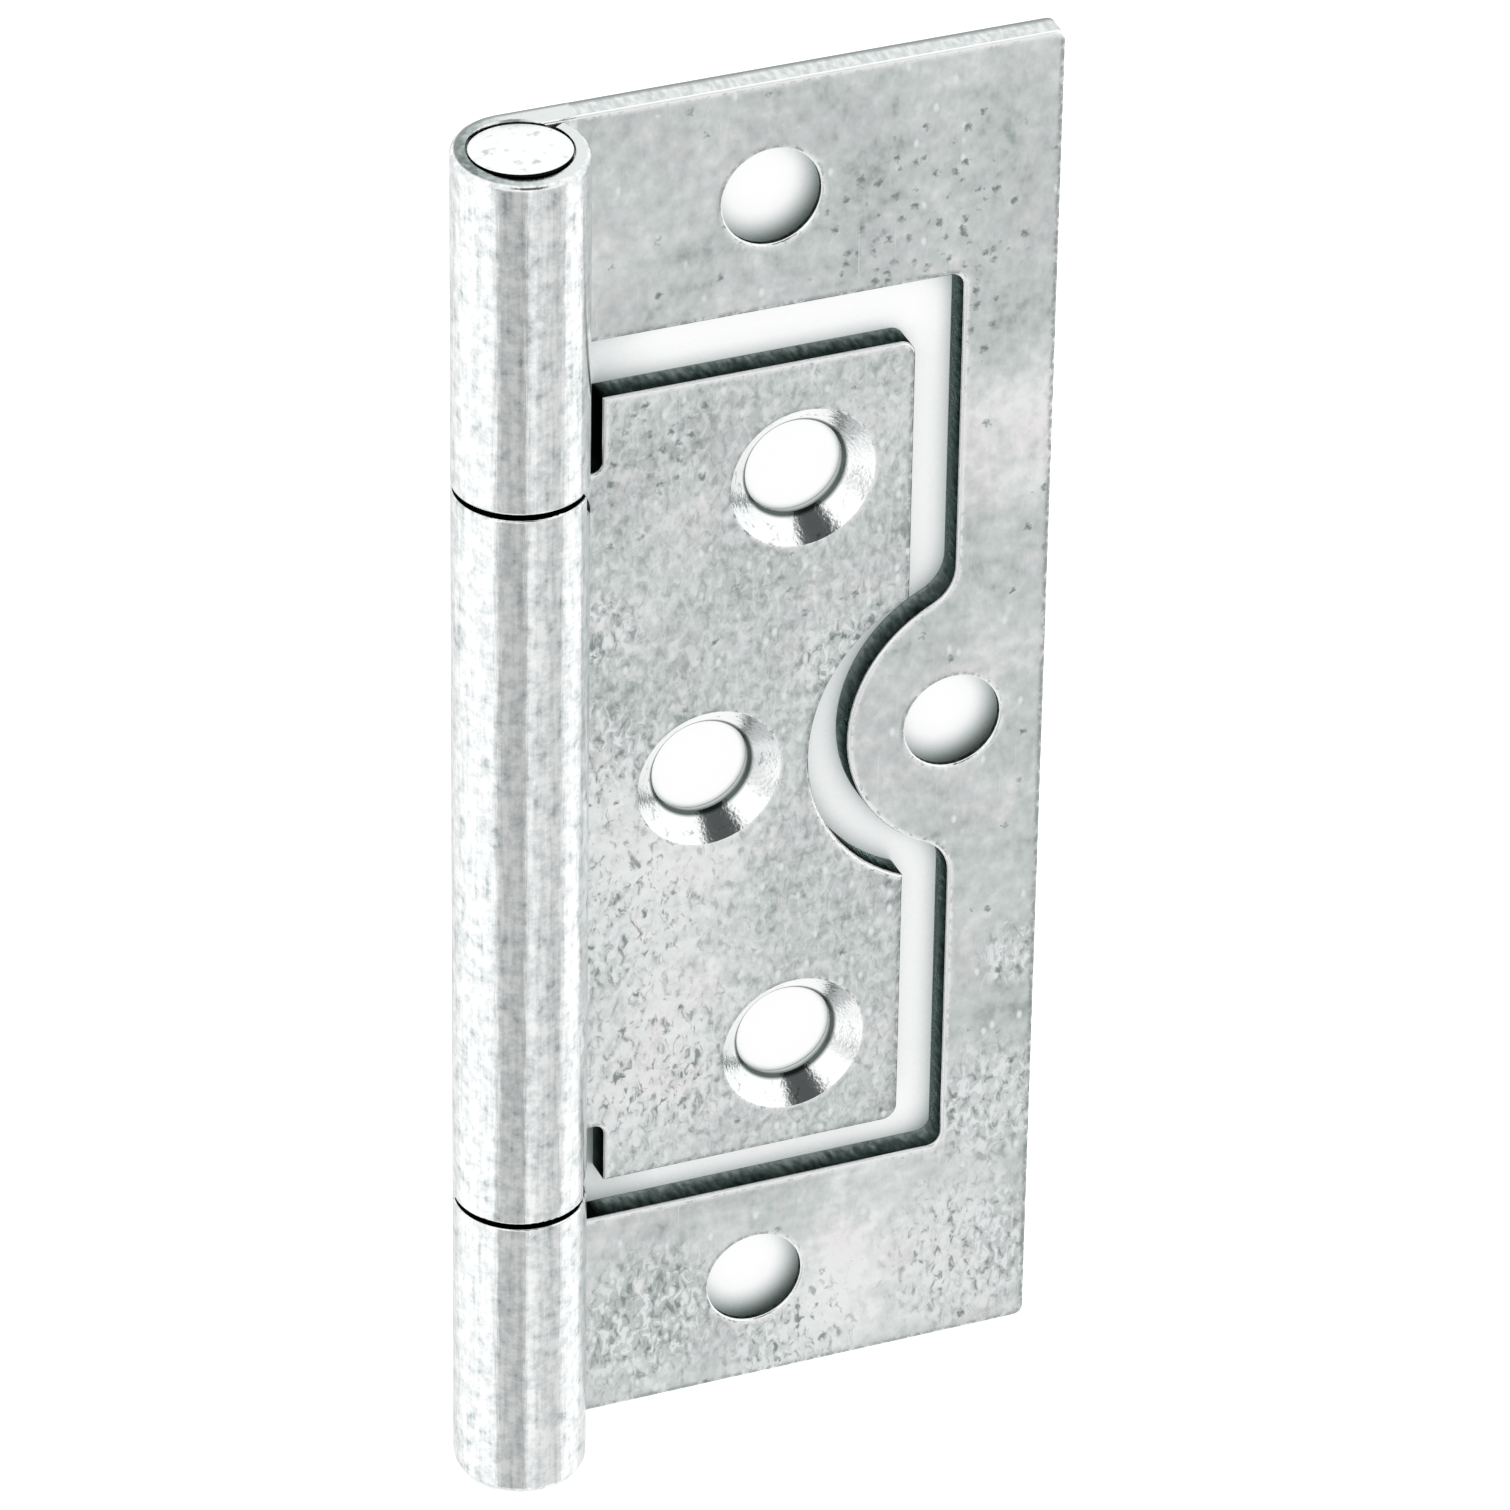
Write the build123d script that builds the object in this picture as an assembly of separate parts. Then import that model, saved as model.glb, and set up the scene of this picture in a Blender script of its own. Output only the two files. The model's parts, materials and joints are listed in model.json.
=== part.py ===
from build123d import *
from build123d.topology import SkipClean
import math
import os

# Flush hinge, closed. Millimetres, +Z up along the pin. The plates lie in the XZ plane and reach
# out along +X from the barrel. The origin is midway between the frame leaf's top and bottom screw
# holes, on the face that lies against the door frame, which is the face the barrel stands out from.

# Rolled sheet and pin
sheet = 1.6  # thickness of both leaves
pin_d = 3.5  # shaft of the pin
pin_play = 0.05  # radial play between pin and knuckles
seam_gap = 0.12  # between a rolled end and the plate it comes back to
joint_gap = 0.3  # between the ends of neighbouring knuckles

# Frame leaf
height = 76.0
frame_corner_r = 0.5
top_knuckle = 18.45
bottom_knuckle = 15.85
top_band = 12.65  # plate above the window
bottom_band = 11.85  # plate below the window
window_reach = 24.0  # pin axis to the window's far side, where the lobe's hole is
side_band = 5.0  # plate beyond the window
window_corner_r = 0.7
knuckle_root = 0.15  # from the barrel to the bend line, where the window begins
end_skew = 0.55  # drop of the barrel's ends from the plate's back to the barrel's front
lobe_depth = 5.7  # how far the lobe stands into the window
lobe_r = 7.8
lobe_shoulder_r = 2.2
frame_hole_reach = 13.7  # pin axis to the top and bottom screw holes
frame_hole_from_top = 6.4
frame_hole_from_bottom = 6.0

# Door leaf, set by its gaps to the window
gap_above = 3.25
gap_below = 2.25
gap_beside = 2.5
gap_at_lobe = 2.1
door_corner_r = 0.8
notch_wider = 1.2  # added to the lobe's radius
slot_play = 0.1  # between the relief slots and the swing of the frame knuckles' roots
slot_width = 2.4
low_slot_wider = 0.3  # how much further the lower slot reaches into the plate
slot_past_knuckle = 1.3  # how far a slot runs past the end of the middle knuckle
slot_r = 0.5
door_hole_reach = 15.6
door_hole_from_top = 6.6
door_hole_from_bottom = 6.0
middle_hole_reach = 10.8

# Screw holes
hole_d = 5.2
sink_d = 7.7
sink_angle = 90.0

# Pin heads
head_d = 4.8
head_play = 0.25  # radial, the dark ring round the head
head_thick = 0.8  # cylindrical part of the head
dome_rise = 0.25
head_sunk = 0.15  # edge of the head below the middle of the barrel's end

# Softened edges
die_roll = 0.2  # rounding that punching leaves on the front edges of the plates
hole_roll = 0.12
rim_r = 0.3  # outer edge of the barrel's two ends
knuckle_edge_r = 0.12  # outer edges where two knuckles meet

hair = 0.001  # shorter lengths than this count as nothing

# Worked out from the sizes above. Heights here run from the frame leaf's bottom edge, and
# distances along X from the pin axis. The finished pieces are moved to the origin at the end.
bore_r = pin_d / 2 + pin_play
barrel_r = bore_r + sheet
frame_reach = window_reach + side_band
window_top = height - top_band
window_bottom = bottom_band
middle_top = height - top_knuckle - joint_gap
middle_bottom = bottom_knuckle + joint_gap
lobe_z = (window_top + window_bottom) / 2
lobe_tip = window_reach - lobe_depth
root_reach = barrel_r + knuckle_root
door_top = window_top - gap_above
door_bottom = window_bottom + gap_below
door_reach = window_reach - gap_beside
door_mid = (door_top + door_bottom) / 2
notch_r = lobe_r + notch_wider
notch_root = lobe_tip - gap_at_lobe
slot_reach = math.hypot(root_reach, barrel_r) + slot_play
hole_high = height - frame_hole_from_top
hole_low = frame_hole_from_bottom
head_r = head_d / 2
mouth_r = head_r + head_play
mouth_depth = head_sunk + head_thick
barrel_low = -end_skew / 2
barrel_high = height - end_skew / 2
origin_z = (hole_high + hole_low) / 2
to_origin = Location((-frame_hole_reach, -bore_r, -origin_z))

# The sheet was rolled a little askew, so that its cut ends slope down towards the barrel's front
slope = (0, -end_skew / (2 * barrel_r), 1)
top_end = Plane((0, barrel_r, height), x_dir=(1, 0, 0), z_dir=slope)
bottom_end = Plane((0, barrel_r, 0), x_dir=(1, 0, 0), z_dir=slope)
plate_front = Plane((0, bore_r, 0), x_dir=(1, 0, 0), z_dir=(0, -1, 0))


def through_plate(plan):
    """A cutter through barrel and plate, from a plan drawn as (reach, height)."""
    return extrude(Plane.XZ * plan, amount=2 * barrel_r, both=True)


def rolled_strip(reach, bottom, top):
    """Plate with its edge rolled into a tube: the plate's back runs on into the tube's outside.

    The bend line beside the tube stays an edge on both faces, so that the flat which lies on the
    wood is a face of its own.
    """
    start = math.pi / 2
    end = 2 * math.pi + math.asin((bore_r - seam_gap) / barrel_r)
    middle = (start + end) / 2
    tip_out = (barrel_r * math.cos(end), barrel_r * math.sin(end))
    tip_in = (bore_r * math.cos(end), bore_r * math.sin(end))
    far_out = (barrel_r * math.cos(middle), barrel_r * math.sin(middle))
    far_in = (bore_r * math.cos(middle), bore_r * math.sin(middle))
    outline = [
        Line((reach, bore_r), (reach, barrel_r)),
        Line((reach, barrel_r), (root_reach, barrel_r)),
        Line((root_reach, barrel_r), (0, barrel_r)),
        ThreePointArc((0, barrel_r), far_out, tip_out),
        Line(tip_out, tip_in),
        ThreePointArc(tip_in, far_in, (0, bore_r)),
        Line((0, bore_r), (root_reach, bore_r)),
        Line((root_reach, bore_r), (reach, bore_r)),
    ]
    section = make_face(outline)
    return extrude(Plane.XY.offset(bottom) * section, amount=top - bottom, clean=False)


def same(size, other):
    """Whether two sizes or places are equal."""
    return abs(size - other) < hair


def edges_in_plane(piece, plane):
    """Edges that lie in a plane, by four points of each."""

    def lies_there(edge):
        points = [edge @ along for along in (0, 0.3, 0.7, 1)]
        return all(same((point - plane.origin).dot(plane.z_dir), 0) for point in points)

    return piece.edges().filter_by(lies_there)


def front_edges(piece):
    """Straight and curved edges round the front of the flat plate, beyond the bend line."""
    on_front = edges_in_plane(piece, plate_front)
    return on_front.filter_by(lambda edge: edge.center().X - root_reach > hair)


def end_edges(piece, plane):
    """The barrel's outer edge at one end, with the plate's back edge that it runs into."""

    def outermost(edge):
        point = edge @ 0.5
        return same(math.hypot(point.X, point.Y), barrel_r) or same(point.Y, barrel_r)

    return edges_in_plane(piece, plane).filter_by(outermost)


def free_corners(piece, reach):
    """The two corners of the plate's free edge."""
    return edges_in_plane(piece, Plane.YZ.offset(reach)).filter_by(Axis.Z, reverse=True)


def screw_hole(reach, level, sunk_from_front):
    """Cutter for a countersunk screw hole through the plate."""
    depth = (sink_d - hole_d) / 2 / math.tan(math.radians(sink_angle / 2))
    face_y = bore_r if sunk_from_front else barrel_r
    inward = 1 if sunk_from_front else -1
    at_face = Plane((reach, face_y, level), x_dir=(1, 0, 0), z_dir=(0, inward, 0))
    cone = at_face * Pos(0, 0, depth / 2) * Cone(sink_d / 2, hole_d / 2, depth)
    shank = at_face * Pos(0, 0, sheet / 2) * Cylinder(hole_d / 2, 2 * sheet)
    return shank + cone


def make_outer_leaf():
    """Frame leaf: plate with the window and lobe, top and bottom knuckle rolled from it."""
    leaf = rolled_strip(frame_reach, -2 * end_skew, height + end_skew)
    from_end_out = (Align.CENTER, Align.CENTER, Align.MIN)
    waste = Box(3 * frame_reach, 6 * barrel_r, 4 * end_skew, align=from_end_out)
    leaf -= top_end * waste
    leaf -= bottom_end * Rot(180, 0, 0) * waste
    leaf = fillet(free_corners(leaf, frame_reach), frame_corner_r)
    leaf = fillet(end_edges(leaf, bottom_end) + end_edges(leaf, top_end), rim_r)

    # The window and the stretch of barrel that belongs to the door leaf
    lobe_face = Pos(lobe_tip + lobe_r, lobe_z) * Circle(lobe_r)
    window = Pos((root_reach + window_reach) / 2, lobe_z) * Rectangle(
        window_reach - root_reach, window_top - window_bottom
    )
    window = fillet(window.vertices(), window_corner_r)
    window -= lobe_face
    shoulders = [v for v in window.vertices() if abs(v.Y - lobe_z) < lobe_r and v.X > lobe_tip]
    window = fillet(shoulders, lobe_shoulder_r)
    room = Pos(0, (bottom_knuckle + height - top_knuckle) / 2) * Rectangle(
        2 * root_reach + 2 * window_corner_r, height - top_knuckle - bottom_knuckle
    )
    leaf -= through_plate(window + room)
    leaf = fillet(front_edges(leaf), die_roll)
    low_meeting = end_edges(leaf, Plane.XY.offset(bottom_knuckle))
    high_meeting = end_edges(leaf, Plane.XY.offset(height - top_knuckle))
    leaf = fillet(low_meeting + high_meeting, knuckle_edge_r)

    holes = [
        (frame_hole_reach, hole_high),
        (frame_hole_reach, hole_low),
        (window_reach, lobe_z),
    ]
    for reach, level in holes:
        leaf -= screw_hole(reach, level, sunk_from_front=False)
    leaf = fillet(hole_rims(leaf), hole_roll)

    for level in (barrel_low, barrel_high):
        leaf -= Pos(0, 0, level) * Cylinder(mouth_r, 2 * mouth_depth)
    return leaf


def hole_rims(piece):
    """Circles of the plain end of each screw hole on the plate's front face."""
    circles = edges_in_plane(piece, plate_front).filter_by(GeomType.CIRCLE)
    return circles.filter_by(lambda edge: same(edge.radius, hole_d / 2))


def make_inner_leaf():
    """Door leaf: plate with the notch and relief slots, long middle knuckle rolled from it."""
    leaf = rolled_strip(door_reach, door_bottom, door_top)
    leaf = fillet(free_corners(leaf, door_reach), door_corner_r)

    notch = Pos(notch_root + notch_r, door_mid) * Circle(notch_r)
    leaf -= through_plate(notch)

    # At each end the knuckle stops short of the plate, with a slot beside it
    for knuckle_end, plate_end, away, wider in (
        (middle_top, door_top, 1, 0),
        (middle_bottom, door_bottom, -1, low_slot_wider),
    ):
        slot_mid = slot_reach + (wider - slot_width) / 2
        past_plate = plate_end + away * sheet
        slot_end = knuckle_end - away * slot_past_knuckle
        slot = Pos(slot_mid, (slot_end + past_plate) / 2) * Rectangle(
            slot_width + wider, abs(past_plate - slot_end)
        )
        slot = fillet(slot.vertices(), slot_r)
        step = Pos(slot_mid, (knuckle_end + past_plate) / 2) * Rectangle(
            slot_mid + 2 * barrel_r,
            abs(past_plate - knuckle_end),
            align=(Align.MAX, Align.CENTER),
        )
        leaf -= through_plate(slot + step)
    leaf = fillet(front_edges(leaf), die_roll)
    low_meeting = end_edges(leaf, Plane.XY.offset(middle_bottom))
    high_meeting = end_edges(leaf, Plane.XY.offset(middle_top))
    leaf = fillet(low_meeting + high_meeting, knuckle_edge_r)

    holes = [
        (door_hole_reach, door_top - door_hole_from_top),
        (middle_hole_reach, door_mid),
        (door_hole_reach, door_bottom + door_hole_from_bottom),
    ]
    for reach, level in holes:
        leaf -= screw_hole(reach, level, sunk_from_front=True)
    return leaf


def make_pin():
    """Pin: shaft with a low domed head at each end, seated on the floor of the barrel's mouth."""
    sphere_r = (head_r**2 + dome_rise**2) / (2 * dome_rise)
    ball = Pos(0, 0, head_sunk - dome_rise + sphere_r) * Sphere(sphere_r)
    head = Cylinder(head_r, 2 * mouth_depth) & ball
    shaft = Pos(0, 0, height / 2) * Cylinder(pin_d / 2, height - 2 * mouth_depth)
    top_head = Pos(0, 0, height) * Rot(180, 0, 0) * head
    return Pos(0, 0, barrel_low) * (shaft + head + top_head)


# The leaves are cut with their bend lines kept
with SkipClean():
    outer_leaf = make_outer_leaf()
    inner_leaf = make_inner_leaf()
pieces = {"outer_leaf": outer_leaf, "inner_leaf": inner_leaf, "hinge_pin": make_pin()}

os.makedirs("parts", exist_ok=True)
for name, piece in pieces.items():
    export_step(to_origin * piece, f"parts/{name}.step")
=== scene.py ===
import json
import math

import bmesh
import bpy
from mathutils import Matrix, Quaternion, Vector


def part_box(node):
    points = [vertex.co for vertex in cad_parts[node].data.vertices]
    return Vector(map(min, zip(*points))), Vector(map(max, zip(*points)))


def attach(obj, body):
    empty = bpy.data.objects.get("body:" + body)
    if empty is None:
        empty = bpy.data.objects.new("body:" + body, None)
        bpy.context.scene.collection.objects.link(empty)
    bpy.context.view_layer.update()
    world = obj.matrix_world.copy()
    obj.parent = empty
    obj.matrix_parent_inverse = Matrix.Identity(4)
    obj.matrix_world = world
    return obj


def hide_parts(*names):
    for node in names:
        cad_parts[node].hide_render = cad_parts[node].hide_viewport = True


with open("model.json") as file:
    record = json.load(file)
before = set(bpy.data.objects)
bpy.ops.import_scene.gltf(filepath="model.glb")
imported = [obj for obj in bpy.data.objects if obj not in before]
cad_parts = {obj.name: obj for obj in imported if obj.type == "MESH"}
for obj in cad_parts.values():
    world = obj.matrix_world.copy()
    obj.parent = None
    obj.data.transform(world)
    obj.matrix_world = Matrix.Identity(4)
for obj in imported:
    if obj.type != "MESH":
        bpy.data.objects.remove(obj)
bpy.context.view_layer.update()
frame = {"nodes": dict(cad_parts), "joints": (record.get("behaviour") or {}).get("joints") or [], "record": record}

# Frame leaf. One sheet of mild steel: blanked with its window and lobe, three holes punched and
# countersunk from the back, two knuckles rolled from it, then bright zinc plated all over.
# The CAD's solid has its shape already, so only the plating is made here.
MM = 0.001
pin_x, pin_y, _ = [place / MM for place in frame["joints"][0]["pos_m"]]
leaf_low, leaf_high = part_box("outer_leaf")
barrel_r = pin_x - leaf_low[0] / MM
sheet = leaf_high[1] / MM
free_edge_x = leaf_high[0] / MM
root_gap = 0.15
plate_from_x = pin_x + barrel_r + root_gap  # the flat plate starts here, beside the barrel
ends_from, ends_by = 36.5, 37.0  # a wall above this height is the leaf's own end
hole_r = 2.6
sink_r = 3.85
mouth_r = 2.65
edge_lean = 0.5  # how far beside an edge the punch pulled the sheet over

# How two shares of a surface are joined by a Math node, and how a Mix node takes colours: the
# share in socket 0, the colour below in 6 and the one laid over it in 7
BOTH = {"operation": "MULTIPLY"}
EITHER = {"operation": "MAXIMUM"}
WITHOUT = {"operation": "SUBTRACT", "use_clamp": True}
COLOURS = {"data_type": "RGBA", "take": 2}


def linear(code):
    """The linear colour of an sRGB hex code."""
    parts = [int(code[i : i + 2], 16) / 255 for i in (1, 3, 5)]
    return [p / 12.92 if p <= 0.04045 else ((p + 0.055) / 1.055) ** 2.4 for p in parts] + [1]


def put(tree, kind, sockets=None, take=0, stops=(), **settings):
    """Add a node, set its properties, fill or link its sockets, and return one of its outputs.

    stops are the places and colours of a colour ramp. A colour may be a hex code.
    """
    node = tree.nodes.new(kind)
    for name, value in settings.items():
        setattr(node, name, value)
    for name, value in (sockets or {}).items():
        if isinstance(value, bpy.types.NodeSocket):
            tree.links.new(value, node.inputs[name])
        else:
            node.inputs[name].default_value = linear(value) if isinstance(value, str) else value
    while stops and len(node.color_ramp.elements) < len(stops):
        node.color_ramp.elements.new(0.5)
    for i, (place, colour) in enumerate(stops):
        node.color_ramp.elements[i].position = place
        node.color_ramp.elements[i].color = linear(colour) if isinstance(colour, str) else colour
    return node.outputs[take] if len(node.outputs) else node


def near_spots(tree, place, spots, base):
    """A share that is 1 in the middle of each spot, an (x, z, radius) in mm, and base far off."""
    full, gone = 0.3, 1.4  # of the radius
    share = base
    for x, z, radius in spots:
        middle = {0: place, 1: (x, 0, z)}
        away = put(tree, "ShaderNodeVectorMath", middle, take="Value", operation="DISTANCE")
        fade = {"Value": away, "From Min": radius * gone, "From Max": radius * full}
        near = put(tree, "ShaderNodeMapRange", fade, interpolation_type="SMOOTHSTEP")
        share = put(tree, "ShaderNodeMath", {0: near, 1: share}, **EITHER)
    return share


def zinc_plated_sheet(name, holes, sunk_from_front, fleck, worm, worn, pitted, pale):
    """Bright zinc electroplate on punched and rolled mild steel.

    To the eye it is a pale grey metal, half bright, mottled like frost, with white glints
    where it is worn and small grey pits. Its walls, rounded edges and crevices carry painted
    shade and painted highlights.

    holes are the places of the leaf's screw holes in mm, as (x, z). fleck is how strong the
    speckle of the flats is, and worm how strong the bright flecks are away from the worn spots.
    worn, pitted and pale are spots of the flats, as (x, z, radius) in mm, where the bright
    flecks or the dark pits crowd, or the plating is paler.
    """
    material = bpy.data.materials.new(name)
    material.use_nodes = True
    tree = material.node_tree
    tree.nodes.clear()
    metres = put(tree, "ShaderNodeTexCoord", take="Object")
    mm = put(tree, "ShaderNodeVectorMath", {0: metres, "Scale": 1 / MM}, operation="SCALE")
    normal = put(tree, "ShaderNodeTexCoord", take="Normal")
    x = put(tree, "ShaderNodeSeparateXYZ", {0: mm}, take="X")
    y = put(tree, "ShaderNodeSeparateXYZ", {0: mm}, take="Y")
    z = put(tree, "ShaderNodeSeparateXYZ", {0: mm}, take="Z")
    to_left = put(tree, "ShaderNodeSeparateXYZ", {0: normal}, take="X")
    to_left = put(tree, "ShaderNodeMath", {0: to_left, 1: -1.0}, operation="MULTIPLY")
    back = put(tree, "ShaderNodeSeparateXYZ", {0: normal}, take="Y")
    facing_y = put(tree, "ShaderNodeMath", {0: back}, operation="ABSOLUTE")
    facing_z = put(tree, "ShaderNodeSeparateXYZ", {0: normal}, take="Z")
    level = put(tree, "ShaderNodeMath", {0: facing_z}, operation="ABSOLUTE")
    on_plate = put(tree, "ShaderNodeCombineXYZ", {"X": x, "Z": z})
    on_end = put(tree, "ShaderNodeCombineXYZ", {"X": x, "Y": y})

    # Where on the leaf: the rolled part, the walls, the edges that the die rounded, the cut ends
    # and the inside of the barrel, and the walls that lie open at the leaf's own outline
    start = {"From Min": plate_from_x + 0.1, "From Max": plate_from_x - 0.1}
    rolled = put(tree, "ShaderNodeMapRange", {"Value": x, **start})
    flat_back = put(tree, "ShaderNodeMapRange", {"Value": back, "From Min": 0.8, "From Max": 0.99})
    rolled = put(tree, "ShaderNodeMath", {0: rolled, 1: flat_back}, **WITHOUT)
    plate = put(tree, "ShaderNodeMath", {0: 1.0, 1: rolled}, operation="SUBTRACT")
    steep = put(tree, "ShaderNodeMapRange", {"Value": facing_y, "From Min": 0.3, "From Max": 0.1})
    wall = put(tree, "ShaderNodeMath", {0: steep, 1: plate}, **BOTH)
    tilted = {"Value": facing_y, "From Min": 0.99, "From Max": 0.9}
    tilted = put(tree, "ShaderNodeMapRange", tilted)
    rim = put(tree, "ShaderNodeMath", {0: tilted, 1: steep}, **WITHOUT)
    rim = put(tree, "ShaderNodeMath", {0: rim, 1: plate}, **BOTH)
    end = put(tree, "ShaderNodeMapRange", {"Value": level, "From Min": 0.9, "From Max": 0.97})
    end = put(tree, "ShaderNodeMath", {0: end, 1: rolled}, **BOTH)
    pin_axis = (pin_x, pin_y, 0)
    middle = {0: on_end, 1: pin_axis}
    from_pin = put(tree, "ShaderNodeVectorMath", middle, take="Value", operation="DISTANCE")
    bore = {"From Min": mouth_r - 0.2, "From Max": mouth_r - 0.3}
    inside = put(tree, "ShaderNodeMapRange", {"Value": from_pin, **bore})
    height = put(tree, "ShaderNodeMath", {0: z}, operation="ABSOLUTE")
    outer = {"Value": height, "From Min": ends_from, "From Max": ends_by}
    outer = put(tree, "ShaderNodeMapRange", outer)
    free = {"Value": x, "From Min": free_edge_x - 0.5, "From Max": free_edge_x - 0.3}
    free = put(tree, "ShaderNodeMapRange", free)
    outer = put(tree, "ShaderNodeMath", {0: outer, 1: free}, **EITHER)

    # Cones of the countersinks, and the lip where a cone meets its hole
    from_hole = 100.0
    for hole_x, hole_z in holes:
        middle = {0: on_plate, 1: (hole_x, 0, hole_z)}
        away = put(tree, "ShaderNodeVectorMath", middle, take="Value", operation="DISTANCE")
        from_hole = put(tree, "ShaderNodeMath", {0: away, 1: from_hole}, operation="MINIMUM")
    cone = {"Value": from_hole, "From Min": sink_r + 0.06, "From Max": sink_r}
    cone = put(tree, "ShaderNodeMapRange", cone)
    cone = put(tree, "ShaderNodeMath", {0: cone, 1: rim}, **BOTH)
    lip_shade = {"Value": from_hole, "From Min": hole_r + 0.25, "From Max": hole_r + 0.12}
    lip_shade = put(tree, "ShaderNodeMapRange", lip_shade)
    lip_shade = put(tree, "ShaderNodeMath", {0: lip_shade, 1: float(sunk_from_front)}, **BOTH)

    # Mottle of the plating: clouds, patches, and a grain drawn out a little along the way the
    # strip was rolled. The real grain, about 0.03 mm, is too fine to show, so it is drawn at
    # 0.4 mm. The sum's mean is brought to the middle of the ramp.
    cloud_size, cloud_weight = 7, 0.45
    patch_size, patch_weight = 1, 0.4
    grain_size = 0.4
    clouds = {"Vector": mm, "Scale": 1 / cloud_size, "Detail": 2.0}
    clouds = put(tree, "ShaderNodeTexNoise", clouds)
    patches = {"Vector": mm, "Scale": 1 / patch_size, "Detail": 2.0}
    patches = put(tree, "ShaderNodeTexNoise", patches)
    drawn = put(tree, "ShaderNodeVectorMath", {0: mm, 1: (1, 1, 0.8)}, operation="MULTIPLY")
    grain = {"Vector": drawn, "Scale": 1 / grain_size, "Detail": 2.0, "Roughness": 0.6}
    grain = put(tree, "ShaderNodeTexNoise", grain)
    tone = put(tree, "ShaderNodeMath", {0: clouds, 1: cloud_weight}, operation="MULTIPLY")
    tone = {0: patches, 1: patch_weight, 2: tone}
    tone = put(tree, "ShaderNodeMath", tone, operation="MULTIPLY_ADD")
    tone = put(tree, "ShaderNodeMath", {0: grain, 1: fleck, 2: tone}, operation="MULTIPLY_ADD")
    mean = (cloud_weight + patch_weight + fleck) / 2 + 0.01
    spread = {"From Min": mean - 0.2, "From Max": mean + 0.2}
    tone = put(tree, "ShaderNodeMapRange", {"Value": tone, **spread}, clamp=False)
    paler = near_spots(tree, on_plate, pale, 0.0)
    tone = put(tree, "ShaderNodeMath", {0: paler, 1: 0.36, 2: tone}, operation="MULTIPLY_ADD")
    zincs = [(0.0, "#98A2A0"), (0.3, "#C8D0CE"), (0.6, "#DDE2E1"), (1.0, "#FBFCFC")]
    colour = put(tree, "ShaderNodeValToRGB", {"Fac": tone}, stops=zincs)
    warm_size = 4
    warm = {"Vector": mm, "Scale": 1 / warm_size, "W": 3.0}
    warm = put(tree, "ShaderNodeTexNoise", warm, noise_dimensions="4D")
    warm = {"Value": warm, "From Min": 0.47, "From Max": 0.62, "To Max": 0.45}
    warm = put(tree, "ShaderNodeMapRange", warm)
    tint = {0: warm, 6: colour, 7: "#FFF5F9"}
    colour = put(tree, "ShaderNodeMix", tint, blend_type="MULTIPLY", **COLOURS)

    # Worm-shaped bright flecks with dark hollows between them, crowded where the leaf is worn
    curl_size = 0.45
    crowd = near_spots(tree, on_plate, worn, worm)
    drawn = put(tree, "ShaderNodeVectorMath", {0: mm, 1: (1, 1, 0.6)}, operation="MULTIPLY")
    curl = {"Scale": 1 / curl_size, "Detail": 3.0, "Roughness": 0.6, "Distortion": 0.7}
    curl = put(tree, "ShaderNodeTexNoise", {"Vector": drawn, **curl})
    bright = put(tree, "ShaderNodeMapRange", {"Value": curl, "From Min": 0.52, "From Max": 0.6})
    bright = put(tree, "ShaderNodeMath", {0: bright, 1: crowd}, **BOTH)
    hollow = put(tree, "ShaderNodeMapRange", {"Value": curl, "From Min": 0.46, "From Max": 0.34})
    hollow = put(tree, "ShaderNodeMath", {0: hollow, 1: crowd}, **BOTH)
    colour = put(tree, "ShaderNodeMix", {0: bright, 6: colour, 7: "#F4F7F7"}, **COLOURS)
    colour = put(tree, "ShaderNodeMix", {0: hollow, 6: colour, 7: "#939C9A"}, **COLOURS)

    # Small bright flecks of 0.2 mm among them, one to a cell at most
    fleck_cell = 0.5
    cell = {"Vector": drawn, "Scale": 1 / fleck_cell}
    to_fleck = put(tree, "ShaderNodeTexVoronoi", cell, take="Distance")
    chance = put(tree, "ShaderNodeSeparateXYZ", {0: to_fleck.node.outputs["Color"]}, take="X")
    few = put(tree, "ShaderNodeMath", {0: crowd, 1: 0.5}, operation="MULTIPLY")
    chosen = put(tree, "ShaderNodeMath", {0: chance, 1: few}, operation="LESS_THAN")
    speck = put(tree, "ShaderNodeMapRange", {"Value": to_fleck, "From Min": 0.4, "From Max": 0.15})
    speck = put(tree, "ShaderNodeMath", {0: speck, 1: chosen}, **BOTH)
    colour = put(tree, "ShaderNodeMix", {0: speck, 6: colour, 7: "#F2F5F5"}, **COLOURS)

    # Ragged grey pits of 0.2 to 0.4 mm, one to a cell at most
    pit_cell, ragged_size, ragged_reach = 0.8, 0.25, 0.6
    crowd = near_spots(tree, on_plate, pitted, 0.05)
    ragged = {"Vector": mm, "Scale": 1 / ragged_size}
    ragged = put(tree, "ShaderNodeTexNoise", ragged, take="Color")
    ragged = {0: ragged, "Scale": ragged_reach}
    ragged = put(tree, "ShaderNodeVectorMath", ragged, operation="SCALE")
    ragged = put(tree, "ShaderNodeVectorMath", {0: ragged, 1: mm}, operation="ADD")
    cell = {"Vector": ragged, "Scale": 1 / pit_cell}
    to_pit = put(tree, "ShaderNodeTexVoronoi", cell, take="Distance")
    chance = put(tree, "ShaderNodeSeparateXYZ", {0: to_pit.node.outputs["Color"]}, take="X")
    chosen = put(tree, "ShaderNodeMath", {0: chance, 1: crowd}, operation="LESS_THAN")
    pit = put(tree, "ShaderNodeMapRange", {"Value": to_pit, "From Min": 0.34, "From Max": 0.12})
    pit = put(tree, "ShaderNodeMath", {0: pit, 1: chosen}, **BOTH)
    pit = put(tree, "ShaderNodeMath", {0: pit, 1: plate}, **BOTH)
    colour = put(tree, "ShaderNodeMix", {0: pit, 6: colour, 7: "#8C9795"}, **COLOURS)

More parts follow.
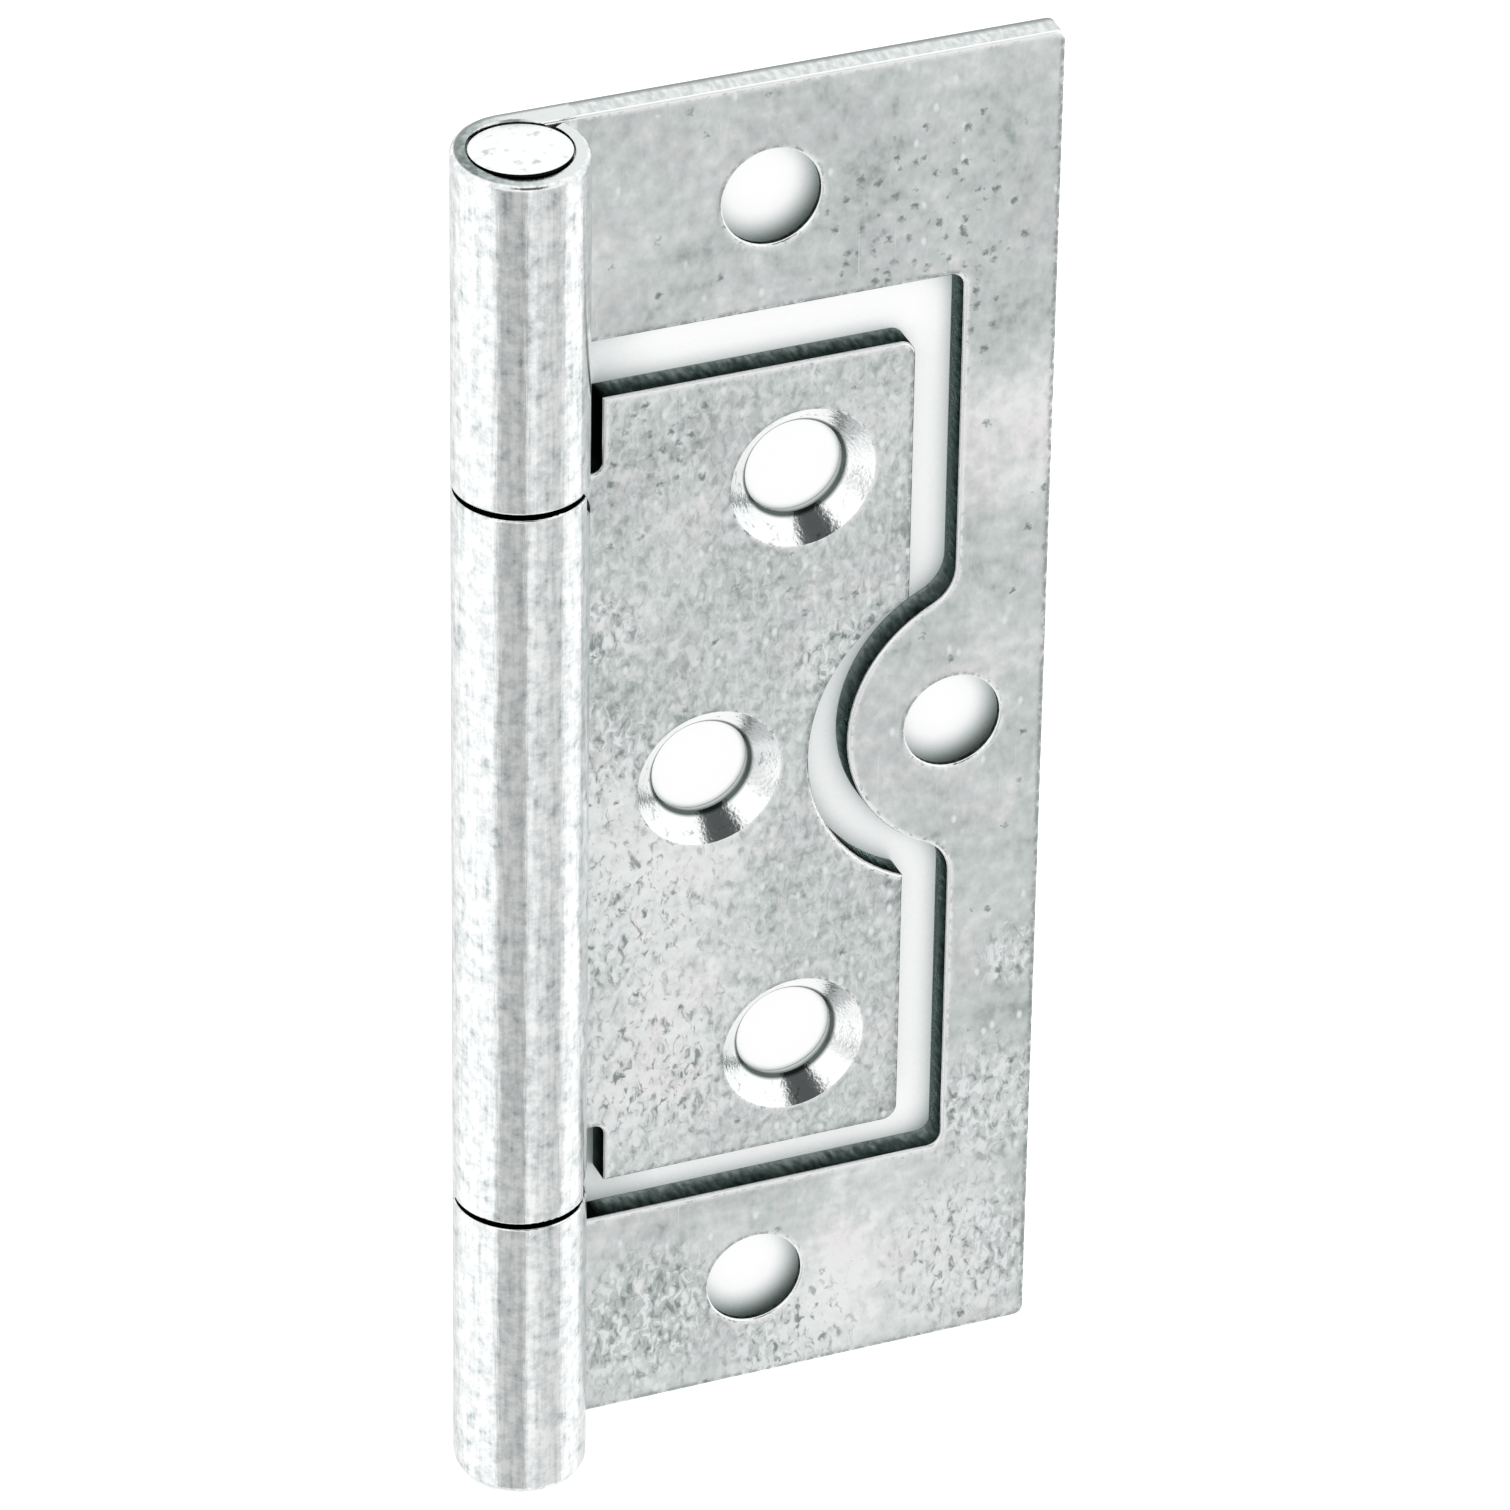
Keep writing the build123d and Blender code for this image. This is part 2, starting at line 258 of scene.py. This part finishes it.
    # Fine upright scratches
    scratch_width = 0.12
    line = put(tree, "ShaderNodeVectorMath", {0: mm, 1: (1, 1, 0.02)}, operation="MULTIPLY")
    line = {"Vector": line, "Scale": 1 / scratch_width, "Detail": 1.0}
    line = put(tree, "ShaderNodeTexNoise", line)
    line = {"Value": line, "From Min": 0.69, "From Max": 0.78, "To Max": 0.5}
    line = put(tree, "ShaderNodeMapRange", line)
    colour = put(tree, "ShaderNodeMix", {0: line, 6: colour, 7: "#F0F3F3"}, **COLOURS)

    # Barrel: smoother and paler, with small dull spots and faint streaks along it
    streak_width, spot_size = 0.25, 0.7
    tall = put(tree, "ShaderNodeVectorMath", {0: mm, 1: (1, 1, 0.07)}, operation="MULTIPLY")
    streaks = {"Vector": tall, "Scale": 1 / streak_width, "Detail": 3.0}
    streaks = put(tree, "ShaderNodeTexNoise", streaks)
    cloudy = {"Vector": mm, "Scale": 1 / spot_size, "Detail": 3.0, "Roughness": 0.65}
    cloudy = put(tree, "ShaderNodeTexNoise", cloudy)
    cloudy = put(tree, "ShaderNodeMath", {0: streaks, 1: 0.5, 2: cloudy}, operation="MULTIPLY_ADD")
    dull_spots_and_shade = put(tree, "ShaderNodeMapRange", {"Value": cloudy, "From Min": 0.62, "From Max": 0.95})
    barrel = put(tree, "ShaderNodeMix", {0: dull_spots_and_shade, 6: "#FBFCFC", 7: "#CBD1D1"}, **COLOURS)
    dull_spots_and_shade = {"Value": cloudy, "From Min": 0.9, "From Max": 1.0, "To Max": 0.6}
    dull_spots_and_shade = put(tree, "ShaderNodeMapRange", dull_spots_and_shade)
    barrel = put(tree, "ShaderNodeMix", {0: dull_spots_and_shade, 6: barrel, 7: "#A3ABAC"}, **COLOURS)
    colour = put(tree, "ShaderNodeMix", {0: rolled, 6: colour, 7: barrel}, **COLOURS)

    # Edges that the die rounded, and the strip beside them, where a bevelled normal leans over.
    # Those that face left or up get a painted highlight, the others a painted shade, and the grain
    # breaks both up.
    leaning = put(tree, "ShaderNodeBevel", {"Radius": edge_lean * MM}, samples=4)
    own = {"vector_type": "NORMAL", "convert_from": "WORLD", "convert_to": "OBJECT"}
    leaning = put(tree, "ShaderNodeVectorTransform", {0: leaning}, **own)
    lean_right = put(tree, "ShaderNodeSeparateXYZ", {0: leaning}, take="X")
    lean_up = put(tree, "ShaderNodeSeparateXYZ", {0: leaning}, take="Z")
    lean_left = put(tree, "ShaderNodeMath", {0: lean_right, 1: -1.0}, operation="MULTIPLY")
    lean_down = put(tree, "ShaderNodeMath", {0: lean_up, 1: -1.0}, operation="MULTIPLY")
    beside = {"Value": x, "From Min": plate_from_x + 0.3, "From Max": plate_from_x + 0.6}
    beside = put(tree, "ShaderNodeMapRange", beside)
    beside = put(tree, "ShaderNodeMath", {0: beside, 1: tilted}, **WITHOUT)
    beside_painted_highlight = put(tree, "ShaderNodeMath", {0: lean_left, 1: lean_up}, **EITHER)
    beside_painted_highlight = {"Value": beside_painted_highlight, "From Min": 0.06, "From Max": 0.14}
    beside_painted_highlight = put(tree, "ShaderNodeMapRange", beside_painted_highlight)
    beside_painted_highlight = put(tree, "ShaderNodeMath", {0: beside_painted_highlight, 1: beside}, **BOTH)
    beside_painted_shade = put(tree, "ShaderNodeMath", {0: lean_right, 1: lean_down}, **EITHER)
    beside_painted_shade = {"Value": beside_painted_shade, "From Min": 0.08, "From Max": 0.2}
    beside_painted_shade = put(tree, "ShaderNodeMapRange", beside_painted_shade)
    beside_painted_shade = put(tree, "ShaderNodeMath", {0: beside_painted_shade, 1: beside}, **BOTH)
    rim_painted_highlight = put(tree, "ShaderNodeMath", {0: to_left, 1: facing_z}, **EITHER)
    rim_painted_highlight = put(tree, "ShaderNodeMapRange", {"Value": rim_painted_highlight, "From Min": 0.05, "From Max": 0.2})
    rim_painted_highlight = put(tree, "ShaderNodeMath", {0: rim_painted_highlight, 1: rim}, **BOTH)
    rim_painted_shade = put(tree, "ShaderNodeMath", {0: rim, 1: rim_painted_highlight}, **WITHOUT)
    rim_painted_shade = put(tree, "ShaderNodeMath", {0: rim_painted_shade, 1: beside_painted_shade}, **EITHER)
    broken = put(tree, "ShaderNodeMapRange", {"Value": grain, "From Min": 0.4, "From Max": 0.55})
    rim_painted_shade = put(tree, "ShaderNodeMath", {0: rim_painted_shade, 1: broken}, **BOTH)
    colour = put(tree, "ShaderNodeMix", {0: rim_painted_shade, 6: colour, 7: "#7F8886"}, **COLOURS)
    broken = put(tree, "ShaderNodeMapRange", {"Value": grain, "From Min": 0.62, "From Max": 0.5})
    beside_painted_highlight = put(tree, "ShaderNodeMath", {0: beside_painted_highlight, 1: broken}, **BOTH)
    rim_painted_highlight = put(tree, "ShaderNodeMath", {0: rim_painted_highlight, 1: beside_painted_highlight}, **EITHER)
    colour = put(tree, "ShaderNodeMix", {0: rim_painted_highlight, 6: colour, 7: "#FDFEFE"}, **COLOURS)

    # Walls inside the leaf: painted shade, dark at the front face and paler and torn towards the back.
    # Those that face left get painted shade all through, and those beside the barrel a painted
    # shade that is nearly black.
    tear_size = 0.3
    torn = put(tree, "ShaderNodeVectorMath", {0: mm, 1: (1, 0.4, 1)}, operation="MULTIPLY")
    torn = put(tree, "ShaderNodeTexNoise", {"Vector": torn, "Scale": 1 / tear_size, "Detail": 3.0})
    torn = put(tree, "ShaderNodeMath", {0: torn, 1: 0.5}, operation="SUBTRACT")
    depth = put(tree, "ShaderNodeMapRange", {"Value": y, "From Min": 0.0, "From Max": sheet})
    depth = put(tree, "ShaderNodeMath", {0: torn, 1: 1.2, 2: depth}, operation="MULTIPLY_ADD")
    shaded_steels = [(0.1, "#1B2120"), (0.4, "#3A4442"), (0.7, "#5F6A67"), (1.0, "#98A19F")]
    painted_wall_shade = put(tree, "ShaderNodeValToRGB", {"Fac": depth}, stops=shaded_steels)
    shaded_steels = [(0.0, "#2A3230"), (0.5, "#4C5755"), (1.0, "#6E7976")]
    dull_spots_and_shade = put(tree, "ShaderNodeValToRGB", {"Fac": depth}, stops=shaded_steels)
    left_facing_shade = put(tree, "ShaderNodeMath", {0: to_left, 1: 0.5}, use_clamp=True, **EITHER)
    painted_wall_shade = put(tree, "ShaderNodeMix", {0: left_facing_shade, 6: painted_wall_shade, 7: dull_spots_and_shade}, **COLOURS)
    # In the holes sunk from the front, the land gets a painted shade, dark at the front and pale at the back
    land_shade = {"Value": y, "From Min": sheet - 0.4, "From Max": sheet - 0.1}
    land_shade = put(tree, "ShaderNodeMapRange", land_shade)
    land_shade = put(tree, "ShaderNodeMix", {0: land_shade, 6: "#3A4341", 7: "#C9CFCE"}, **COLOURS)
    painted_wall_shade = put(tree, "ShaderNodeMix", {0: lip_shade, 6: painted_wall_shade, 7: land_shade}, **COLOURS)
    # Painted shade, nearly black, on the walls beside the barrel
    painted_nook_shade = {"Value": x, "From Min": plate_from_x + 2.5, "From Max": plate_from_x + 1.5}
    painted_nook_shade = put(tree, "ShaderNodeMapRange", painted_nook_shade)
    painted_wall_shade = put(tree, "ShaderNodeMix", {0: painted_nook_shade, 6: painted_wall_shade, 7: "#0E1211"}, **COLOURS)

    # The leaf's own outline lies open to the light, so its wall is pale, with a painted dull shade at the back
    # corner
    tooth = put(tree, "ShaderNodeMapRange", {"Value": torn, "From Min": -0.12, "From Max": 0.12})
    open_wall = put(tree, "ShaderNodeMix", {0: tooth, 6: "#CDD3D2", 7: "#E8ECEB"}, **COLOURS)
    back_corner_shade = {"Value": y, "From Min": sheet - 0.65, "From Max": sheet - 0.35}
    back_corner_shade = put(tree, "ShaderNodeMapRange", back_corner_shade)
    open_wall = put(tree, "ShaderNodeMix", {0: back_corner_shade, 6: open_wall, 7: "#939998"}, **COLOURS)
    painted_wall_shade = put(tree, "ShaderNodeMix", {0: outer, 6: painted_wall_shade, 7: open_wall}, **COLOURS)
    colour = put(tree, "ShaderNodeMix", {0: wall, 6: colour, 7: painted_wall_shade}, **COLOURS)

    # Barrel's cut ends: a painted shading, paler towards the plate, with a painted dull line of shade
    # round the back, and painted dark shade inside the barrel and where two knuckles meet
    across = {"Value": x, "From Min": pin_x - barrel_r, "From Max": pin_x + 1}
    across = put(tree, "ShaderNodeMapRange", across)
    across = put(tree, "ShaderNodeMath", {0: grain, 1: 1.0, 2: across}, operation="MULTIPLY_ADD")
    widest = 1.5
    across = put(tree, "ShaderNodeMath", {0: across, 1: widest}, operation="DIVIDE")
    shaded_steels = [(0.5 / widest, "#6C7775"), (0.9 / widest, "#AEB8B6"), (1.35 / widest, "#DDE2E1")]
    cut_end_shading = put(tree, "ShaderNodeValToRGB", {"Fac": across}, stops=shaded_steels)
    strip = put(tree, "ShaderNodeMath", {0: x, 1: pin_x}, operation="MINIMUM")
    strip = put(tree, "ShaderNodeCombineXYZ", {"X": strip, "Y": y})
    middle = {0: strip, 1: pin_axis}
    far_out = put(tree, "ShaderNodeVectorMath", middle, take="Value", operation="DISTANCE")
    far_out = {"Value": far_out, "From Min": barrel_r - 0.5, "From Max": barrel_r - 0.3}
    far_out = put(tree, "ShaderNodeMapRange", far_out)
    behind = {"Value": y, "From Min": pin_y - 0.5, "From Max": pin_y + 1.0}
    behind = put(tree, "ShaderNodeMapRange", behind)
    back_line_shade = put(tree, "ShaderNodeMath", {0: far_out, 1: behind}, **BOTH)
    cut_end_shading = put(tree, "ShaderNodeMix", {0: back_line_shade, 6: cut_end_shading, 7: "#848A88"}, **COLOURS)
    colour = put(tree, "ShaderNodeMix", {0: end, 6: colour, 7: cut_end_shading}, **COLOURS)
    meeting = put(tree, "ShaderNodeMath", {0: end, 1: outer}, **WITHOUT)
    crevice_shade = put(tree, "ShaderNodeMath", {0: meeting, 1: inside}, **EITHER)
    colour = put(tree, "ShaderNodeMix", {0: crevice_shade, 6: colour, 7: "#171B1A"}, **COLOURS)

    # Countersinks: bright from the tool, with a painted shade as a dark lip at the hole, and small burrs
    burrs = {"Value": curl, "From Min": 0.4, "From Max": 0.3, "To Max": 0.5}
    burrs = put(tree, "ShaderNodeMapRange", burrs)
    lip_shade = put(tree, "ShaderNodeMath", {0: lip_shade, 1: burrs}, **EITHER)
    cone_and_lip_shade = put(tree, "ShaderNodeMix", {0: lip_shade, 6: "#F8FAFA", 7: "#59625F"}, **COLOURS)
    colour = put(tree, "ShaderNodeMix", {0: cone, 6: colour, 7: cone_and_lip_shade}, **COLOURS)

    # Gloss: the flats half dull, the barrel burnished by rolling, the cones nearly bright
    rough = put(tree, "ShaderNodeMapRange", {"Value": patches, "To Min": 0.32, "To Max": 0.5})
    rough = put(tree, "ShaderNodeMix", {0: rolled, 2: rough, 3: 0.2})
    rough = put(tree, "ShaderNodeMix", {0: wall, 2: rough, 3: 0.5})
    rough = put(tree, "ShaderNodeMix", {0: cone, 2: rough, 3: 0.14})

    # Relief: the grain of the flats, the streaks of the barrel, and the marks that a chattering
    # countersink leaves. Real ones are half as wide, and too fine to show.
    chatter_size = 0.2
    relief = put(tree, "ShaderNodeMath", {0: grain, 1: curl}, operation="ADD")
    round_relief = put(tree, "ShaderNodeMath", {0: cloudy, 1: streaks}, operation="ADD")
    relief = put(tree, "ShaderNodeMix", {0: rolled, 2: relief, 3: round_relief})
    chatter = {"Vector": mm, "Scale": 1 / chatter_size, "Detail": 2.0}
    chatter = put(tree, "ShaderNodeTexNoise", chatter)
    relief = put(tree, "ShaderNodeMix", {0: cone, 2: relief, 3: chatter})
    lift = put(tree, "ShaderNodeMix", {0: rolled, 2: 0.6, 3: 0.4})
    lift = put(tree, "ShaderNodeMix", {0: cone, 2: lift, 3: 0.7})
    bump = {"Height": relief, "Distance": 0.02 * MM, "Strength": lift}
    bump = put(tree, "ShaderNodeBump", bump)

    # Walls inside the leaf get a painted shade in their sheen too, a dark specular tint, as they see only each
    # other at a low angle
    cut_in = put(tree, "ShaderNodeMath", {0: wall, 1: outer}, **WITHOUT)
    sheen_painted_shade = put(tree, "ShaderNodeMix", {0: cut_in, 6: (1, 1, 1, 1), 7: "#2A3230"}, **COLOURS)
    look = {"Base Color": colour, "Metallic": 1.0, "Roughness": rough, "Normal": bump}
    shader = put(tree, "ShaderNodeBsdfPrincipled", {**look, "Specular Tint": sheen_painted_shade})
    put(tree, "ShaderNodeOutputMaterial", {"Surface": shader})
    return material


def screw_holes(*mounts):
    """Places of the screw holes in mm, as (x, z), from the record's mounts."""
    found = []
    for mount in frame["record"]["mounts"]:
        if mount["name"] in mounts:
            x, _, z = [place / MM for place in mount["pos_m"]]
            half = mount["dims"].get("spacing_y_mm", 0) / 2
            found += [(x, z + half), (x, z - half)] if half else [(x, z)]
    return found


frame_holes = screw_holes("frame_screws", "frame_lobe_screw")
frame["nodes"]["outer_leaf"].material_slots[0].material = zinc_plated_sheet(
    "bright_zinc_plated_sheet",
    frame_holes,
    sunk_from_front=False,
    fleck=0.15,
    worm=0.12,
    worn=[(-6, -33, 5), (2, -36, 4), (12, -33, 5), (13, -24, 4), (14, -15, 2)],
    pitted=[(8, 29, 6), (9, 22, 4), (9, -24, 3)],
    pale=[(7, -33, 7), (13, 15, 5)],
)

# Door leaf. Punched from the same sheet, with the round notch that clears the lobe, a relief slot
# at each end of its knuckle and three holes countersunk from the front. Its plating is livelier.
frame["nodes"]["inner_leaf"].material_slots[0].material = zinc_plated_sheet(
    "speckled_zinc_plated_sheet",
    screw_holes("door_screws", "door_middle_screw"),
    sunk_from_front=True,
    fleck=0.35,
    worm=0.45,
    worn=[(-9, 9, 3), (-9, 1, 5), (-8, -8, 6), (-6, -18, 6), (4, 5, 3)],
    pitted=[(-6, 19, 3), (5, 6, 3)],
    pale=[(-8, -5, 7), (-6, -16, 6)],
)

# Pin. A turned steel rod through the three knuckles. Its ends are peened into low domed heads
# that sit in the bored mouths of the barrel, and the hammer spread their edges to the wall.
pin_low, pin_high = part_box("hinge_pin")
head_r = pin_high[0] / MM - pin_x
spread_gap = 0.12
spread_r = mouth_r - spread_gap
spread_thick = 0.4
shaft_r = 1.75
head_thick = 0.8
dome_rise = 0.1
dome_rings = 10
turns = 96
sharp_angle = math.radians(30)
merge_within = 0.0001

sphere_r = (spread_r**2 + dome_rise**2) / (2 * dome_rise)
widest = math.asin(spread_r / sphere_r)
half = []  # radius, and depth below the top of the dome
for i in range(dome_rings + 1):
    angle = widest * i / dome_rings
    half.append((sphere_r * math.sin(angle), sphere_r * (1 - math.cos(angle))))
half.append((spread_r, dome_rise + spread_thick))
half.append((head_r, dome_rise + spread_thick + 0.1))
half.append((head_r, dome_rise + head_thick))
half.append((shaft_r, dome_rise + head_thick))
top = pin_high[2] / MM
low = pin_low[2] / MM
profile = [(r, top - drop) for r, drop in half] + [(r, low + drop) for r, drop in reversed(half)]
mesh = bmesh.new()
points = [mesh.verts.new((pin_x + r, pin_y, height)) for r, height in profile]
outline = points + [mesh.edges.new(pair) for pair in zip(points, points[1:])]
around_pin = {"cent": (pin_x, pin_y, 0), "axis": (0, 0, 1), "angle": 2 * math.pi}
bmesh.ops.spin(mesh, geom=outline, steps=turns, **around_pin)
bmesh.ops.remove_doubles(mesh, verts=mesh.verts, dist=merge_within)
bmesh.ops.recalc_face_normals(mesh, faces=mesh.faces)
bmesh.ops.scale(mesh, verts=mesh.verts, vec=(MM, MM, MM))
for face in mesh.faces:
    face.smooth = True
pin_mesh = bpy.data.meshes.new("pin")
mesh.to_mesh(pin_mesh)
mesh.free()
pin_mesh.set_sharp_from_angle(angle=sharp_angle)
pin = bpy.data.objects.new("pin", pin_mesh)
bpy.context.scene.collection.objects.link(pin)

# Peened and plated steel: nearly white heads with a few dull hammer marks. The sides of the
# heads are painted dark, as painted shade in the mouths.
steel = bpy.data.materials.new("bright_peened_steel")
steel.use_nodes = True
tree = steel.node_tree
tree.nodes.clear()
dent_size = 0.8 * MM
metres = put(tree, "ShaderNodeTexCoord", take="Object")
dents = put(tree, "ShaderNodeTexNoise", {"Vector": metres, "Scale": 1 / dent_size, "Detail": 2.0})
marks = put(tree, "ShaderNodeMapRange", {"Value": dents, "From Min": 0.62, "From Max": 0.7})
colour = put(tree, "ShaderNodeMix", {0: marks, 6: "#F4F6F6", 7: "#C9CECD"}, **COLOURS)
normal = put(tree, "ShaderNodeTexCoord", take="Normal")
level = put(tree, "ShaderNodeSeparateXYZ", {0: normal}, take="Z")
level = put(tree, "ShaderNodeMath", {0: level}, operation="ABSOLUTE")
side_painted_shade = put(tree, "ShaderNodeMapRange", {"Value": level, "From Min": 0.5, "From Max": 0.3})
colour = put(tree, "ShaderNodeMix", {0: side_painted_shade, 6: colour, 7: "#171B1A"}, **COLOURS)
bump = put(tree, "ShaderNodeBump", {"Height": dents, "Distance": 0.03 * MM})
look = {"Base Color": colour, "Metallic": 1.0, "Roughness": 0.3, "Normal": bump}
shader = put(tree, "ShaderNodeBsdfPrincipled", look)
put(tree, "ShaderNodeOutputMaterial", {"Surface": shader})
pin_mesh.materials.append(steel)
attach(pin, "frame_leaf")
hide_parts("hinge_pin")

# Table. The hinge lies with its back on a white card, which shows through its holes and the
# window, shaded where the steel crowds it. From behind the card can't be seen.
inset_x, inset_z = 1.0 * MM, 1.5 * MM
card_gap = 0.05 * MM
card_x = [pin_x * MM, leaf_high[0] - inset_x]
card_z = [leaf_low[2] + inset_z, leaf_high[2] - inset_z]
card_y = leaf_high[1] + card_gap
corners = [(card_x[i], card_z[j]) for i, j in ((0, 0), (1, 0), (1, 1), (0, 1))]
board_mesh = bpy.data.meshes.new("board")
board_mesh.from_pydata([(x, card_y, z) for x, z in corners], [], [(0, 1, 2, 3)])
board = bpy.data.objects.new("board", board_mesh)
bpy.context.scene.collection.objects.link(board)

# Matt white card: white in the open, with a soft grey shade in the narrow gaps. The shade doesn't
# count the light that the cones behind the frame leaf's holes throw on it, so that is added as
# painted light near those holes.
card = bpy.data.materials.new("white_card")
card.use_nodes = True
tree = card.node_tree
tree.nodes.clear()
shade_reach = 6.0 * MM
sunk_reach = 4.0
sunk_light = 0.12
open_sky = {"Distance": shade_reach}
open_sky = put(tree, "ShaderNodeAmbientOcclusion", open_sky, take="AO", samples=12)
metres = put(tree, "ShaderNodeTexCoord", take="Object")
mm = put(tree, "ShaderNodeVectorMath", {0: metres, "Scale": 1 / MM}, operation="SCALE")
sunk = near_spots(tree, mm, [(x, z, sunk_reach) for x, z in frame_holes], 0.0)
open_sky = {0: sunk, 1: sunk_light, 2: open_sky}
open_sky = put(tree, "ShaderNodeMath", open_sky, operation="MULTIPLY_ADD")
shades = [
    (0.12, "#0A0D0C"),
    (0.22, "#59625F"),
    (0.34, "#9CA5A3"),
    (0.49, "#CBD1D1"),
    (0.64, "#FFFFFF"),
]
shade = put(tree, "ShaderNodeValToRGB", {"Fac": open_sky}, stops=shades)
glow = put(tree, "ShaderNodeEmission", {"Color": shade})
clear = put(tree, "ShaderNodeBsdfTransparent")
from_behind = put(tree, "ShaderNodeNewGeometry", take="Backfacing")
both = put(tree, "ShaderNodeMixShader", {0: from_behind, 1: glow, 2: clear})
put(tree, "ShaderNodeOutputMaterial", {"Surface": both})
board_mesh.materials.append(card)
board.visible_diffuse = False
board.visible_glossy = False
board.visible_shadow = False

# Floor. A matt white table under the hinge, which keeps its soft shadow and looks white to the
# camera.
floor_size = 4.0
floor_z = leaf_low[2]
camera_lift = 0.5
bpy.ops.mesh.primitive_plane_add(size=floor_size, location=(0, 0, floor_z))
floor = bpy.context.object
floor.name = "floor"
white = bpy.data.materials.new("white_table")
white.use_nodes = True
tree = white.node_tree
tree.nodes.clear()
matt = put(tree, "ShaderNodeBsdfDiffuse", {"Color": "#F2F2F2"})
seen = put(tree, "ShaderNodeLightPath", take="Is Camera Ray")
lift = put(tree, "ShaderNodeMath", {0: seen, 1: camera_lift}, operation="MULTIPLY")
glow = put(tree, "ShaderNodeEmission", {"Color": "#FFFFFF", "Strength": lift})
both = put(tree, "ShaderNodeAddShader", {0: matt, 1: glow})
put(tree, "ShaderNodeOutputMaterial", {"Surface": both})
floor.data.materials.append(white)
floor.visible_glossy = False
floor.visible_shadow = False

# Studio. A tent of white sheets with gaps between them, which the barrel throws back as grey
# bands, and a dark spot high in front, which each countersink throws back as a dark patch.
world = bpy.data.worlds.new("light_tent")
bpy.context.scene.world = world
world.use_nodes = True
tree = world.node_tree
tree.nodes.clear()
way = put(tree, "ShaderNodeTexCoord", take="Generated")
way_x = put(tree, "ShaderNodeSeparateXYZ", {0: way}, take="X")
way_y = put(tree, "ShaderNodeSeparateXYZ", {0: way}, take="Y")
way_z = put(tree, "ShaderNodeSeparateXYZ", {0: way}, take="Z")
front = put(tree, "ShaderNodeMath", {0: way_y, 1: -1.0}, operation="MULTIPLY")
azimuth = put(tree, "ShaderNodeMath", {0: way_x, 1: front}, operation="ARCTAN2")
whole = {"From Min": -math.pi, "From Max": math.pi}
around = put(tree, "ShaderNodeMapRange", {"Value": azimuth, **whole})

# Degrees round from the front, towards the free edges, and how bright the tent is there
sheets = [(-180, 0.85), (-150, 1.0)]  # behind, on the left
sheets += [(-128, 1.2), (-66, 1.2)]  # white sheet: the barrel's bright left side
sheets += [(-56, 0.56), (-22, 0.54)]  # gap: the barrel's broad grey band
sheets += [(-18, 0.42), (-12, 0.42)]  # the band's dark right edge
sheets += [(-8, 1.0), (2, 1.0)]  # narrow sheet: the bright line down the barrel
sheets += [(10, 0.79), (27, 0.79)]  # grey sheet: the flats
sheets += [(33, 0.67), (52, 0.67)]  # gap: the barrel's second grey band
sheets += [(62, 1.2), (96, 1.2)]  # white sheet: the barrel's bright right side
sheets += [(110, 0.9), (148, 0.9)]  # behind, on the right: the back of the leaves
sheets += [(160, 0.55), (170, 0.85)]  # narrow gap: the dull line beside the barrel
stops = [((degrees + 180) / 360, (bright, bright, bright, 1)) for degrees, bright in sheets]
surround = put(tree, "ShaderNodeValToRGB", {"Fac": around}, stops=stops)
above = put(tree, "ShaderNodeMapRange", {"Value": way_z, "From Min": -0.1, "From Max": 0.2})
overhead = {0: above, 6: surround, 7: (1.1, 1.1, 1.1, 1)}
surround = put(tree, "ShaderNodeMix", overhead, **COLOURS)
below = put(tree, "ShaderNodeMapRange", {"Value": way_z, "From Min": -0.6, "From Max": -0.72})
underfoot = {0: below, 6: surround, 7: (1.0, 1.0, 1.0, 1)}
surround = put(tree, "ShaderNodeMix", underfoot, **COLOURS)
high_front = {0: way, 1: Vector((0.0, -0.64, 0.77)).normalized()}
spot = put(tree, "ShaderNodeVectorMath", high_front, take="Value", operation="DOT_PRODUCT")
spot_rim, spot_core = math.radians(26), math.radians(18)
spot = {"Value": spot, "From Min": math.cos(spot_rim), "From Max": math.cos(spot_core)}
spot = put(tree, "ShaderNodeMapRange", spot)
shades = {0: spot, 6: surround, 7: (0.08, 0.085, 0.085, 1)}
surround = put(tree, "ShaderNodeMix", shades, **COLOURS)
seen = put(tree, "ShaderNodeLightPath", take="Is Camera Ray")
light = put(tree, "ShaderNodeBackground", {"Color": surround, "Strength": 1.0})
plain = put(tree, "ShaderNodeBackground", {"Color": (1, 1, 1, 1), "Strength": 1.0})
both = put(tree, "ShaderNodeMixShader", {0: seen, 1: light, 2: plain})
put(tree, "ShaderNodeOutputWorld", {"Surface": both})

# Camera. Where the photograph was taken from: to the left of the hinge and above it, far off with
# a long lens. The aim is a point near the hinge's middle, and the shift is the photograph's crop.
aim = Vector((-1.69, -1.80, 1.01)) * MM
stand = Vector((-159.48, -384.47, 259.07)) * MM
roll = math.radians(0.88)
photo_px = 1510
focal_px = 9800.94
shift_x_px, shift_y_px = 9.48, 7.79
lens = bpy.data.cameras.new("camera")
lens.sensor_width = 36.0
lens.lens = focal_px / photo_px * lens.sensor_width
lens.shift_x = shift_x_px / photo_px
lens.shift_y = shift_y_px / photo_px
camera = bpy.data.objects.new("camera", lens)
camera.location = stand
camera.rotation_mode = "QUATERNION"
camera.rotation_quaternion = (aim - stand).to_track_quat("-Z", "Y") @ Quaternion((0, 0, 1), roll)
bpy.context.scene.collection.objects.link(camera)
bpy.context.scene.camera = camera
bpy.context.scene.view_settings.view_transform = "Standard"
